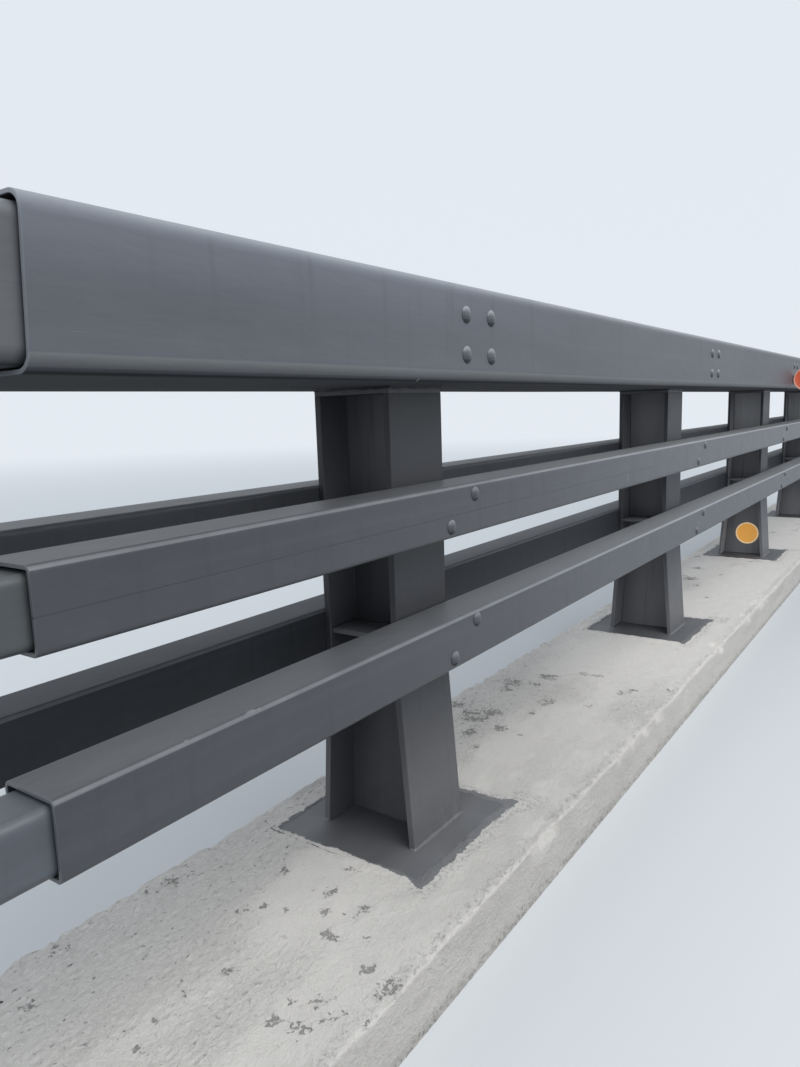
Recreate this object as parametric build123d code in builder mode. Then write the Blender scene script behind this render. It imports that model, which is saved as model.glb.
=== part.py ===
# Double-sided steel highway guardrail section, four posts on a low concrete plinth.
# All lengths are millimetres. X runs along the rails, Y across the section, Z is up.
# The origin is on the ground, under the middle of the section.
import os

from build123d import *

os.makedirs("parts", exist_ok=True)

# Layout along the section
post_count = 4
post_spacing = 2000.0
rail_end_gap = 10.0

# Concrete plinth, a little wider in front of the posts than behind them
plinth_height = 118.0
plinth_front_width = 360.0
plinth_rear_width = 300.0
plinth_batter = 15.0
plinth_arris_radius = 12.0

# Posts, welded up from plate
base_plate_length = 400.0
base_plate_width = 420.0
base_plate_thickness = 20.0
base_plate_joint = 2.0
flange_width = 210.0
flange_thickness = 16.0
web_thickness = 14.0
post_depth = 208.0
foot_depth = 272.0
kink_height = 432.0
kink_bend_radius = 60.0
stiffener_height = 487.0
stiffener_thickness = 12.0
stiffener_setback = 8.0
cap_thickness = 16.0

# Side rails, square tube, bolted to the outer faces of the flanges
side_rail_size = 114.0
side_rail_wall = 6.0
side_rail_corner = 8.0
lower_rail_centre = 487.0
middle_rail_centre = 782.0

# Top rail, wide box on the post caps
top_rail_width = 520.0
top_rail_height = 200.0
top_rail_wall = 6.0
top_rail_corner = 25.0
top_rail_underside = 1057.0

# Joint sleeves, pushed into the left-hand ends of the rails
sleeve_projection = 240.0
sleeve_insertion = 300.0
side_sleeve_clearance = 4.0
side_sleeve_headroom = 5.0
side_sleeve_wall = 5.0
side_sleeve_corner = 14.0
top_sleeve_clearance = 4.0
top_sleeve_headroom = 8.0
top_sleeve_wall = 6.0
top_sleeve_corner = 22.0

# Round reflectors at one post, on its web and on a bracket under the top rail's lower bolts
bay_count_before_reflectors = 2
reflector_diameter = 140.0
reflector_thickness = 4.0
web_reflector_height = 135.0
web_reflector_offset = -18.0
bracket_height = 50.0
bracket_length = 150.0
bracket_reach = 100.0
bracket_thickness = 4.0
bracket_bend_radius = 4.0
bracket_bolt_height = 56.0

# Values that follow from the ones above
section_length = post_count * post_spacing
rail_length = section_length - rail_end_gap
post_positions = [(i - (post_count - 1) / 2) * post_spacing for i in range(post_count)]
deck = plinth_height
kink_level = deck + kink_height
stiffener_level = deck + stiffener_height
rail_seat_level = deck + top_rail_underside
cap_underside = rail_seat_level - cap_thickness
half_depth = post_depth / 2
half_foot = foot_depth / 2
upper_inner = half_depth - flange_thickness
foot_inner = half_foot - flange_thickness


def export(part, name):
    part.label = name
    export_step(part, f"parts/{name}.step")


def tube(length, width, height, wall, corner, centre):
    """Rectangular tube along X with round corners, centred on the given point."""
    with BuildPart() as body:
        with BuildSketch(Plane.YZ.offset(-length / 2)):
            RectangleRounded(width, height, corner)
            RectangleRounded(width - 2 * wall, height - 2 * wall, corner - wall, mode=Mode.SUBTRACT)
        extrude(amount=length)
    return body.part.moved(Location(centre))


# Plinth: battered sides, worn-round top edges, and a recess for each base plate
with BuildPart() as plinth:
    with BuildSketch(Plane.YZ.offset(-section_length / 2)) as plinth_profile:
        with BuildLine():
            Polyline(
                (-plinth_front_width - plinth_batter, 0),
                (plinth_rear_width + plinth_batter, 0),
                (plinth_rear_width, plinth_height),
                (-plinth_front_width, plinth_height),
                close=True,
            )
        make_face()
        fillet(plinth_profile.vertices().group_by(Axis.Y)[-1], plinth_arris_radius)
    extrude(amount=section_length)
    with Locations(*[(x, 0, deck) for x in post_positions]):
        Box(
            base_plate_length + 2 * base_plate_joint,
            base_plate_width + 2 * base_plate_joint,
            base_plate_thickness,
            align=(Align.CENTER, Align.CENTER, Align.MAX),
            mode=Mode.SUBTRACT,
        )
export(plinth.part, "plinth")

# Front flange: plate that stands upright at the rails and leans out below the kink
with BuildPart() as flange:
    with BuildSketch(Plane.YZ.offset(-flange_width / 2)) as flange_profile:
        with BuildLine():
            Polyline(
                (-half_foot, deck),
                (-half_foot + flange_thickness, deck),
                (-half_depth + flange_thickness, kink_level),
                (-half_depth + flange_thickness, cap_underside),
                (-half_depth, cap_underside),
                (-half_depth, kink_level),
                close=True,
            )
        make_face()
        outer_bend = flange_profile.vertices().sort_by_distance((-half_depth, kink_level))[0]
        fillet(outer_bend, kink_bend_radius)
    extrude(amount=flange_width)

# Web: transverse plate between the two flanges, following their inner faces
with BuildPart() as web:
    with BuildSketch(Plane.YZ.offset(-web_thickness / 2)):
        with BuildLine():
            Polyline(
                (-foot_inner, deck),
                (foot_inner, deck),
                (upper_inner, kink_level),
                (upper_inner, cap_underside),
                (-upper_inner, cap_underside),
                (-upper_inner, kink_level),
                close=True,
            )
        make_face()
    extrude(amount=web_thickness)

# Stiffeners: one plate on each side of the web, level with the lower rails
with BuildPart() as stiffeners:
    stiffener_reach = (flange_width - web_thickness) / 2 - stiffener_setback
    stiffener_offset = web_thickness / 2 + stiffener_reach / 2
    with Locations((-stiffener_offset, 0, stiffener_level), (stiffener_offset, 0, stiffener_level)):
        Box(
            stiffener_reach,
            2 * upper_inner,
            stiffener_thickness,
            align=(Align.CENTER, Align.CENTER, Align.MIN),
        )

# Base plate, let in flush with the deck, and cap plate
with BuildPart() as base_plate:
    with Locations((0, 0, deck)):
        Box(
            base_plate_length,
            base_plate_width,
            base_plate_thickness,
            align=(Align.CENTER, Align.CENTER, Align.MAX),
        )

with BuildPart() as cap_plate:
    with Locations((0, 0, cap_underside)):
        Box(
            flange_width,
            post_depth,
            cap_thickness,
            align=(Align.CENTER, Align.CENTER, Align.MIN),
        )

rear_flange = mirror(flange.part, about=Plane.XZ)
for number, x in enumerate(post_positions, start=1):
    at_post = Location((x, 0, 0))
    export(base_plate.part.moved(at_post), f"post_{number}_base_plate")
    export(flange.part.moved(at_post), f"post_{number}_front_flange")
    export(rear_flange.moved(at_post), f"post_{number}_rear_flange")
    export(web.part.moved(at_post), f"post_{number}_web")
    export(stiffeners.part.moved(at_post), f"post_{number}_stiffeners")
    export(cap_plate.part.moved(at_post), f"post_{number}_cap_plate")

# Side rails and their sleeves. Each sleeve lies on the bottom wall of its rail
sleeve_length = sleeve_projection + sleeve_insertion
sleeve_x = -rail_length / 2 - sleeve_projection + sleeve_length / 2
side_bore = side_rail_size - 2 * side_rail_wall
side_sleeve_width = side_bore - 2 * side_sleeve_clearance
side_sleeve_height = side_bore - side_sleeve_headroom
side_rail_y = half_depth + side_rail_size / 2
for side, y in (("front", -side_rail_y), ("rear", side_rail_y)):
    for level, centre in (("lower", lower_rail_centre), ("middle", middle_rail_centre)):
        z = deck + centre
        rail = tube(
            rail_length,
            side_rail_size,
            side_rail_size,
            side_rail_wall,
            side_rail_corner,
            (0, y, z),
        )
        export(rail, f"{side}_{level}_rail")
        sleeve = tube(
            sleeve_length,
            side_sleeve_width,
            side_sleeve_height,
            side_sleeve_wall,
            side_sleeve_corner,
            (sleeve_x, y, z - side_sleeve_headroom / 2),
        )
        export(sleeve, f"{side}_{level}_rail_sleeve")

# Top rail and its sleeve
top_rail_z = rail_seat_level + top_rail_height / 2
top_rail = tube(
    rail_length,
    top_rail_width,
    top_rail_height,
    top_rail_wall,
    top_rail_corner,
    (0, 0, top_rail_z),
)
export(top_rail, "top_rail")
top_sleeve = tube(
    sleeve_length,
    top_rail_width - 2 * top_rail_wall - 2 * top_sleeve_clearance,
    top_rail_height - 2 * top_rail_wall - top_sleeve_headroom,
    top_sleeve_wall,
    top_sleeve_corner,
    (sleeve_x, 0, top_rail_z - top_sleeve_headroom / 2),
)
export(top_sleeve, "top_rail_sleeve")

# Reflector on the left-hand side of one web, towards the front flange
reflector_post_x = post_positions[bay_count_before_reflectors]
with BuildPart() as web_reflector:
    with BuildSketch(Plane.YZ.offset(reflector_post_x - web_thickness / 2)):
        with Locations((web_reflector_offset, deck + web_reflector_height)):
            Circle(reflector_diameter / 2)
    extrude(amount=-reflector_thickness)
export(web_reflector.part, "web_reflector")

# Bent bracket on the top rail's front face, with a second reflector on its outstanding leg
rail_face = -top_rail_width / 2
bracket_left = reflector_post_x - bracket_length / 2
bracket_z = rail_seat_level + bracket_bolt_height
with BuildPart() as bracket:
    with BuildSketch(Plane.XY.offset(bracket_z - bracket_height / 2)) as bracket_profile:
        with BuildLine():
            Polyline(
                (bracket_left, rail_face),
                (bracket_left + bracket_length, rail_face),
                (bracket_left + bracket_length, rail_face - bracket_thickness),
                (bracket_left + bracket_thickness, rail_face - bracket_thickness),
                (bracket_left + bracket_thickness, rail_face - bracket_reach),
                (bracket_left, rail_face - bracket_reach),
                close=True,
            )
        make_face()
        corners = bracket_profile.vertices()
        outer_corner = corners.sort_by_distance((bracket_left, rail_face))[0]
        fillet(outer_corner, bracket_bend_radius + bracket_thickness)
        inner_point = (bracket_left + bracket_thickness, rail_face - bracket_thickness)
        inner_corner = bracket_profile.vertices().sort_by_distance(inner_point)[0]
        fillet(inner_corner, bracket_bend_radius)
    extrude(amount=bracket_height)
export(bracket.part, "delineator_bracket")

with BuildPart() as rail_reflector:
    with BuildSketch(Plane.YZ.offset(bracket_left)):
        with Locations((rail_face - reflector_diameter / 2 - bracket_thickness, bracket_z)):
            Circle(reflector_diameter / 2)
    extrude(amount=-reflector_thickness)
export(rail_reflector.part, "delineator_disc")
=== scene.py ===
import math

import bpy
import numpy as np
from mathutils import Matrix, Vector


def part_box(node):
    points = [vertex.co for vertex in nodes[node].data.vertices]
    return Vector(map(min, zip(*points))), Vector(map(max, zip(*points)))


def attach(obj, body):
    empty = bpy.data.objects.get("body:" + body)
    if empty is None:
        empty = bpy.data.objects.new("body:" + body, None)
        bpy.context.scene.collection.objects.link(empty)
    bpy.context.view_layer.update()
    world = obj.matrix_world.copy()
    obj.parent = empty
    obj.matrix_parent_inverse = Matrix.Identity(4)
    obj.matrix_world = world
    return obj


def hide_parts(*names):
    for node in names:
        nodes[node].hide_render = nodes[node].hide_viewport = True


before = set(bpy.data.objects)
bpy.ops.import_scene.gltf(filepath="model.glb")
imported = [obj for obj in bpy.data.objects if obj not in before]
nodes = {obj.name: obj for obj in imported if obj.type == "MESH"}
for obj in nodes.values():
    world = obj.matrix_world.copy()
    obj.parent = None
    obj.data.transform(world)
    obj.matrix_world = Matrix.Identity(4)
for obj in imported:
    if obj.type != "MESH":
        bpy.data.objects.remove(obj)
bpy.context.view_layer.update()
print("frame loaded with", len(nodes), "nodes")

# Where things stand along the section, read from the frame
posts = ["post_1", "post_2", "post_3", "post_4"]
sides = {"front": -1, "rear": 1}
plateBoxes = [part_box(post + "_base_plate") for post in posts]
postPlaces = [(low[0] + high[0]) / 2 for low, high in plateBoxes]
postSpacing = postPlaces[1] - postPlaces[0]
plateHalf = np.array([(plateBoxes[0][1][0] - plateBoxes[0][0][0]) / 2, plateBoxes[0][1][1]])
deckHeight = plateBoxes[0][1][2]
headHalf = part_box("post_1_cap_plate")[1][1]
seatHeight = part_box("post_1_cap_plate")[1][2]


def tone(red, green, blue):
    # screen values from 0 to 255, turned into the linear colour that shaders take
    shares = [value / 255 for value in (red, green, blue)]
    return (*[c / 12.92 if c < 10 / 255 else ((c + 0.055) / 1.055) ** 2.4 for c in shares], 1)


def smoothStep(low, high, value):
    # 3t² - 2t³, where t is how far value has come from low to high
    t = np.clip((value - low) / (high - low), 0, 1)
    return t * t * (3 - 2 * t)


def softNoise(u, v, seed):
    # random heights from -1 to 1 at whole numbers of u and v, blended smoothly between them
    cells = 97
    heights = np.random.default_rng(seed).uniform(-1, 1, (cells, cells))
    u, v = np.broadcast_arrays(np.asarray(u, float), np.asarray(v, float))
    column, row = np.floor(u).astype(int), np.floor(v).astype(int)
    acrossU, acrossV = smoothStep(0, 1, u - column), smoothStep(0, 1, v - row)
    column, row, nextColumn, nextRow = column % cells, row % cells, (column + 1) % cells, (row + 1) % cells
    near = heights[column, row] * (1 - acrossU) + heights[nextColumn, row] * acrossU
    far = heights[column, nextRow] * (1 - acrossU) + heights[nextColumn, nextRow] * acrossU
    return near * (1 - acrossV) + far * acrossV


def roughNoise(u, v, seed, octaves=4):
    # soft noise added to itself at twice the pitch and half the height, again and again
    return sum(softNoise(u * 2 ** k, v * 2 ** k, seed + k) / 2 ** k for k in range(octaves))


def roundedOutline(halfWidth, halfHeight, radius, perCorner=8, shoulder=0.0015):
    # four corner arcs of the given radius, each with a point more on the straight just before and after it
    outline = []
    for corner in range(4):
        start, end = corner * math.pi / 2, (corner + 1) * math.pi / 2
        angles = np.linspace(start, end, perCorner + 1)
        signs = np.array([(1, 1), (-1, 1), (-1, -1), (1, -1)][corner])
        centre = signs * (halfWidth - radius, halfHeight - radius)
        arc = centre + radius * np.stack([np.cos(angles), np.sin(angles)], axis=1)
        before = arc[0] + shoulder * np.array([math.sin(start), -math.cos(start)])
        after = arc[-1] + shoulder * np.array([-math.sin(end), math.cos(end)])
        outline.append(np.vstack([before, arc, after]))
    return np.concatenate(outline)


def shell(points, closedAlong=False):
    # quads between a grid's rows and columns, closed round each row, with flat caps on open ends
    rows, columns = points.shape[:2]
    index = np.arange(rows * columns).reshape(rows, columns)
    follow = np.vstack([index, index[:1]]) if closedAlong else index
    around = np.roll(follow, -1, axis=1)
    quads = np.stack([follow[:-1], around[:-1], around[1:], follow[1:]], axis=-1).reshape(-1, 4)
    caps = [] if closedAlong else [index[0][::-1], index[-1]]
    vertices = points.reshape(-1, 3)
    # a closed skin that points outwards holds a positive volume
    halves = np.concatenate([quads[:, [0, 1, 2]], quads[:, [0, 2, 3]]])
    for cap in caps:
        fan = np.stack([np.full(len(cap) - 2, cap[0]), cap[1:-1], cap[2:]], axis=1)
        halves = np.concatenate([halves, fan])
    a, b, c = (vertices[halves[:, k]] for k in range(3))
    if np.einsum("ij,ij->", a, np.cross(b, c)) < 0:
        quads, caps = quads[:, ::-1], [cap[::-1] for cap in caps]
    return vertices, quads, caps


def makePiece(name, shells, finish, replaced=(), sharpAngle=35, fields=None):
    # one mesh of all the given shells, placed in its own vertices; fields are named values for its finish
    faces, start = [], 0
    for vertices, quads, caps in shells:
        faces += (quads + start).tolist() + [(cap + start).tolist() for cap in caps]
        start += len(vertices)
    mesh = bpy.data.meshes.new(name)
    mesh.from_pydata(np.concatenate([part[0] for part in shells]).tolist(), [], faces)
    mesh.shade_smooth()
    mesh.set_sharp_from_angle(angle=math.radians(sharpAngle))
    mesh.materials.append(finish)
    for field, values in (fields or {}).items():
        mesh.attributes.new(field, "FLOAT", "POINT").data.foreach_set("value", values.ravel())
    piece = bpy.data.objects.new(name, mesh)
    bpy.context.scene.collection.objects.link(piece)
    if replaced:
        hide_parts(*replaced)
    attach(piece, "root")


def dressNode(name, finish):
    # gives a node of the frame its finish and leaves its shape alone
    node = nodes[name]
    if not node.material_slots:
        node.data.materials.append(finish)
    for entry in node.material_slots:
        entry.material = finish


class Signal:
    # one output of a node; sums on it add Math nodes to the same finish

    def __init__(self, finish, socket):
        self.finish, self.socket = finish, socket

    def output(self, name):
        return Signal(self.finish, self.socket.node.outputs[name])

    def sum(self, operation, first, second=0.0):
        return self.finish.add("ShaderNodeMath", {"operation": operation}, {0: first, 1: second})

    def __add__(self, other):
        return self.sum("ADD", self, other)

    def __sub__(self, other):
        return self.sum("SUBTRACT", self, other)

    def __rsub__(self, other):
        return self.sum("SUBTRACT", other, self)

    def __mul__(self, other):
        return self.sum("MULTIPLY", self, other)

    __radd__ = __add__
    __rmul__ = __mul__

    def modulo(self, step):
        return self.sum("FLOORED_MODULO", self, step)

    def size(self):
        return self.sum("ABSOLUTE", self)

    def larger(self, other):
        return self.sum("MAXIMUM", self, other)

    def over(self, low, high):
        # 0 below low, 1 above high, smooth between
        return self.finish.add(
            "ShaderNodeMapRange",
            {"interpolation_type": "SMOOTHSTEP"},
            {"Value": self, "From Min": low, "From Max": high},
        )

    def within(self, low, high, soft):
        # 1 between low and high, 0 outside, with soft ends
        return self.over(low - soft, low) * (1 - self.over(high, high + soft))


class Finish:
    # the nodes of a material, or of the world, under construction; a material's places are in metres

    def __init__(self, owner, places="Object"):
        owner.use_nodes = True
        self.owner, self.tree = owner, owner.node_tree
        self.tree.nodes.clear()
        self.place = self.add("ShaderNodeTexCoord", output=places)
        self.x = self.add("ShaderNodeSeparateXYZ", values={0: self.place})
        self.y, self.z = self.x.output("Y"), self.x.output("Z")

    def add(self, kind, settings=None, values=None, output=0):
        node = self.tree.nodes.new(kind)
        for key, value in (settings or {}).items():
            setattr(node, key, value)
        for key, value in (values or {}).items():
            if isinstance(value, Signal):
                self.tree.links.new(value.socket, node.inputs[key])
            else:
                node.inputs[key].default_value = value
        return Signal(self, node.outputs[output])

    def vector(self, operation, first, second=(0, 0, 0), output=0):
        return self.add("ShaderNodeVectorMath", {"operation": operation}, {0: first, 1: second}, output)

    def noise(self, pitch, detail=3, shift=(0, 0, 0), roughness=0.55, distortion=0.0):
        # pitch is the number of lumps in a metre, all ways alike or along x, y and z; shift moves the pattern
        pitch = np.broadcast_to(pitch, 3).tolist()
        scaled = self.vector("MULTIPLY", self.vector("ADD", self.place, shift), pitch)
        values = {"Scale": 1, "Detail": detail, "Roughness": roughness, "Distortion": distortion}
        return self.add("ShaderNodeTexNoise", values=values | {"Vector": scaled})

    def spot(self, centre, reach, unevenness):
        # 1 inside an ellipsoid about centre with half sizes reach, its edge moved in and out by unevenness
        apart = self.vector("DIVIDE", self.vector("SUBTRACT", self.place, centre), reach)
        return 1 - (self.vector("LENGTH", apart, output="Value") + unevenness).over(0.85, 1.0)

    def blend(self, factor, first, second):
        # from the first colour to the second as factor goes from 0 to 1; a triple holds screen values
        first, second = (tone(*colour) if isinstance(colour, tuple) else colour for colour in (first, second))
        settings = {"data_type": "RGBA", "clamp_factor": True}
        return self.add("ShaderNodeMix", settings, {0: factor, 6: first, 7: second}, output=2)

    def coat(self, cover, colour):
        # lays one more colour over the finish wherever cover is 1
        self.colour = self.blend(cover, self.colour, colour)

    def facing(self, axis="Z"):
        # one part of the outward direction; along Z it is 1 on a level top
        normal = self.add("ShaderNodeNewGeometry", output="Normal")
        return self.add("ShaderNodeSeparateXYZ", values={0: normal}).output(axis)

    def field(self, name):
        return self.add("ShaderNodeAttribute", {"attribute_name": name}, output="Fac")

    def bump(self, height, strength, distance, under=None):
        values = {"Height": height, "Strength": strength, "Distance": distance}
        if under:
            values["Normal"] = under
        return self.add("ShaderNodeBump", values=values)

    def close(self, values):
        values = values | {"Base Color": self.colour}
        return self.finishWith(self.add("ShaderNodeBsdfPrincipled", values=values))

    def finishWith(self, shader, endKind="ShaderNodeOutputMaterial"):
        end = self.tree.nodes.new(endKind)
        self.tree.links.new(shader.socket, end.inputs["Surface"])
        return self.owner


def steelPaint(name, look):
    # brushed-on paint over rolled steel, one coat of colour over another: clouds and patches, painted light
    # far along the section, painted light and shade with height, drip streaks, painted light on the top
    # rail's lower rounding and painted shade low on bolt heads, dust on level faces with painted light far
    # along, paler tones towards the deck and smears near it, painted light on the flanges' inner faces, a
    # painted highlight along upward roundings, cut ends, painted shade between the flanges, soot and painted
    # shade underneath, and hairs, a seam, scratches and chips
    f = Finish(bpy.data.materials.new(name))
    shade, light, patchTone = look["paint"]
    cloud = f.noise((0.9, 4, 4), 4, roughness=0.6)
    patch = f.noise((9, 14, 14), 5, (3, 1, 7), roughness=0.62)
    streak = f.noise((38, 38, 2.2), 3, (1, 5, 2))
    band = f.noise((0.7, 34, 34), 3, (5, 3, 8))
    brush = f.noise((4, 150, 150), 3, (2, 2, 2))
    grain = f.noise(420, 2)
    up = f.facing()
    level = up.over(0.80, 0.99)
    under = 1 - up.over(look["sootAndShadeFrom"] - 0.12, look["sootAndShadeFrom"])
    edgeStart, edgeFull, edgeEnd = look["highlightBand"]
    rounding = up.over(edgeStart, edgeFull) * (1 - up.over(edgeEnd, (edgeEnd + 1) / 2))
    downSlopeShading = up.within(-0.66, -0.12, 0.07)
    cut = f.facing("X").size().over(0.55, 0.9)

    f.colour = f.blend(cloud.over(0.32, 0.68), shade, light)
    f.coat(patch.over(0.45, 0.8) * look["patches"], patchTone)
    f.coat(band.over(0.5, 0.75) * look["bands"] * (1 - level), patchTone)
    # painted light: the paint grows lighter far along the section, standing in for haze and sky light
    farLightShare = f.x.over(*look["farLightBand"]) * look["farLight"]
    f.coat(farLightShare, look["farLightColour"])
    # painted light and shade by height: a highlight on the top rail's upper part near its left-hand end,
    # shade on the posts' upper flanges, lighter web tops and cap plates, and a highlight on the top rail's
    # bolts
    far = f.x.over(*look["farBand"])
    heightShadingLeft, heightShadingRight = look["heightShading"]
    heightShaded = f.z.over(*look["heightShadingBand"]) * (heightShadingLeft + far * (heightShadingRight - heightShadingLeft))
    f.coat(heightShaded, f.blend(far, *look["heightShadingTones"]))
    f.coat(streak.over(0.52, 0.78) * look["streaks"] * (1 - level), look["streak"])
    # painted reflection as a light strip on the top rail's lower rounding, painted shade low on the bolt
    # heads
    f.coat(downSlopeShading * look["downSlopeShading"], look["downSlopeShadingColour"])
    # dust on level faces, with painted light: the share that grows far along
    dustAndLight = level * (0.35 + patch * 0.7 + farLightShare * 3.8) * look["dustAndLight"]
    f.coat(dustAndLight, look["dustAndLightColour"])
    # paler towards the deck
    low = (1 - f.z.over(deckHeight, deckHeight + 0.4)) * (0.5 + cloud) * look["nearDeckPale"]
    f.coat(low, look["nearDeckPaleColour"])
    smearField = f.noise((42, 42, 13), 5, (8, 8, 3), roughness=0.65, distortion=0.6)
    nearDeck = 1 - f.z.over(deckHeight + 0.004, deckHeight + 0.085)
    f.coat(smearField.over(0.50, 0.72) * nearDeck * look["smears"], look["smearColour"])
    # painted light on the flanges' inner faces, which lie in the post's shade, lighter still far along
    innerLightShare = (0 - f.y * f.facing("Y")).over(0.03, 0.07) * look["inner"]
    innerLow, innerHigh, innerFar = look["innerLightTones"]
    innerLightTone = f.blend(f.z.over(0.45, 0.95), innerLow, innerHigh)
    f.coat(innerLightShare, f.blend(far, innerLightTone, innerFar))
    # painted highlight along upward-facing roundings, brighter far along
    highlightTone = f.blend(farLightShare * 2.4, *look["highlightTones"])
    f.coat(rounding * (0.25 + patch + farLightShare * 1.6) * look["edges"], highlightTone)
    f.coat(cut * look["cutEnds"], look["cutColour"])
    # painted shade near the middle of the section, between the flanges
    flangeGapShaded = (1 - f.y.size().over(*look["flangeGapShadeBand"])) * look["flangeGapShade"]
    f.coat(flangeGapShaded, look["sootAndShadeColour"])
    # soot and painted shade on faces that look down
    f.coat(under * look["sootAndShade"], look["sootAndShadeColour"])

    hairField = f.noise((0.8, 170, 170), 2, (4, 6, 1), distortion=0.2).over(0.70, 0.715)
    hairs = hairField * f.noise((1.3, 2, 2), 1, (2, 7, 1)).over(0.45, 0.6) * look["hairs"]
    seam = (1 - (f.z - look["seam"]).size().over(0.0007, 0.0016)) * (1 - level) * (0.6 + patch * 0.5)
    seam = seam * (1 - f.x.over(-2.6, -0.8))
    scratchField = f.noise((5, 260, 260), 2, (11, 3, 5), distortion=0.4).over(0.735, 0.755)
    scratchZone = f.noise((1.6, 3, 3), 1, (6, 6, 1)).over(0.56, 0.66)
    scratches = scratchField * scratchZone * look["scratches"]
    speckField = f.noise(150, 1, (4, 9, 9)).over(0.80, 0.84)
    specks = speckField * f.noise((2.5, 5, 5), 2, (8, 1, 3)).over(0.52, 0.66) * look["specks"]
    chips = specks
    ragged = (f.noise(210, 2, (7, 2, 2)) - 0.5) * 1.6
    for centre, reach in look["chips"]:
        chips = chips.larger(f.spot(centre, reach, ragged))
    f.coat(hairs, look["streak"])
    f.coat(seam, look["streak"])
    f.coat(scratches, look["bare"])
    f.coat(chips, look["bare"])

    rough = look["roughness"] + patch * 0.16 + dustAndLight * 0.25 + under * 0.45
    fine = f.bump(grain, 0.25, 0.0004)
    waves = f.bump(f.noise((16, 60, 60), 2, (5, 5, 5)) + brush * 0.16, 0.4, 0.0016, under=fine)
    scars = f.bump(1 - scratches * 0.6 - chips - seam * 0.7 - hairs * 0.3, 0.6, 0.0007, under=waves)
    return f.close({"Roughness": rough, "Normal": scars, "Specular IOR Level": look["gloss"]})


# Paint by kind of piece: a colour is three screen values, and a band says where a change starts and ends.
# "paint" holds a darker and a lighter tone that clouds mix, and a patch tone; the inner-face tones, painted
# light, hold low, high and far along; the painted light and shade by height and the painted highlight hold
# their amounts and tones at the left-hand end and far along
looks = {}
looks["topRail"] = {
    "paint": ((90, 94, 101), (98, 102, 109), (105, 110, 115)),
    "patches": 0.5,
    "bands": 0.35,
    "streak": (78, 81, 87),
    "streaks": 0.3,
    # painted light: how much lighter the paint grows far along, where, and towards what tone
    "farLight": 0.2,
    "farLightBand": (-3.3, -1.2),
    "farLightColour": (116, 119, 125),
    # painted highlight on the upper part, near the left-hand end
    "heightShading": (0.9, 0.0),
    "heightShadingBand": (1.255, 1.385),
    "heightShadingTones": ((116, 121, 130), (98, 102, 109)),
    "farBand": (-3.3, -1.9),
    "inner": 0.0,
    "innerLightTones": ((84, 85, 89), (106, 107, 111), (168, 169, 173)),
    "flangeGapShade": 0.0,
    "flangeGapShadeBand": (0.07, 0.16),
    # painted reflection: a light strip along the lower rounding
    "downSlopeShading": 0.45,
    "downSlopeShadingColour": (138, 141, 141),
    # dust on level faces, with painted light far along
    "dustAndLight": 0.42,
    "dustAndLightColour": (134, 136, 138),
    "nearDeckPale": 0.0,
    "nearDeckPaleColour": (128, 128, 129),
    "smears": 0.0,
    "smearColour": (122, 123, 125),
    # painted highlight along upward-facing roundings: its amount, band and tones
    "edges": 0.85,
    "highlightBand": (0.22, 0.93, 0.975),
    "highlightTones": ((146, 151, 156), (146, 151, 156)),
    "cutEnds": 0.9,
    "cutColour": (160, 164, 170),
    # soot and painted shade on the underside
    "sootAndShade": 0.9,
    "sootAndShadeFrom": -0.80,
    "sootAndShadeColour": (46, 47, 50),
    "bare": (176, 178, 178),
    "hairs": 0.35,
    "seam": -1.0,
    "scratches": 0.7,
    "specks": 0.7,
    "chips": [
        ((-3.205, -0.247, 1.178), (0.0035, 0.006, 0.008)),
        ((-3.196, -0.238, 1.176), (0.002, 0.004, 0.004)),
    ],
    "roughness": 0.44,
    "gloss": 0.5,
}
looks["sideRail"] = looks["topRail"] | {
    # painted shade: the top rail's paint made darker for the rails beneath it
    "paint": ((62, 65, 70), (70, 73, 78), (79, 82, 87)),
    "streak": (52, 54, 58),
    "farLight": 0.42,
    "farLightBand": (-3.9, -0.6),
    "downSlopeShading": 0.0,
    "dustAndLight": 0.36,
    # dust with painted light: a paler tone for top faces in the top rail's shade
    "dustAndLightColour": (144, 146, 148),
    "edges": 0.6,
    "highlightBand": (0.26, 0.40, 0.82),
    "highlightTones": ((145, 147, 149), (164, 166, 169)),
    "heightShading": (0.0, 0.0),
    "cutColour": (116, 118, 121),
    "bare": (126, 129, 132),
    "seam": 0.893,
    "chips": [
        ((-3.655, -0.213, 0.6605), (0.011, 0.004, 0.0022)),
        ((-3.640, -0.215, 0.6600), (0.005, 0.003, 0.002)),
        ((-3.785, -0.214, 0.6610), (0.004, 0.003, 0.002)),
        ((-1.923, -0.218, 0.8800), (0.0025, 0.002, 0.0150)),
        ((-0.955, -0.218, 0.6420), (0.009, 0.002, 0.008)),
        ((-1.020, -0.218, 0.6050), (0.007, 0.002, 0.006)),
        ((1.310, -0.216, 0.9560), (0.012, 0.004, 0.003)),
        ((2.240, 0.217, 0.6600), (0.010, 0.004, 0.004)),
    ],
    "roughness": 0.32,
    "gloss": 0.62,
}
looks["rearMiddle"] = looks["sideRail"] | {
    "dustAndLight": 0.5,
    # painted light: a lighter copy of the side rails' paint
    "paint": ((76, 78, 82), (84, 86, 90), (92, 94, 98)),
    "gloss": 0.5,
}
looks["rearLower"] = looks["sideRail"] | {
    # painted shade: a darker copy of the side rails' paint
    "paint": ((53, 56, 61), (60, 63, 68), (67, 70, 75)),
    "dustAndLight": 0.12,
    "farLight": 0.62,
    "roughness": 0.45,
    "gloss": 0.25,
}
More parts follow.
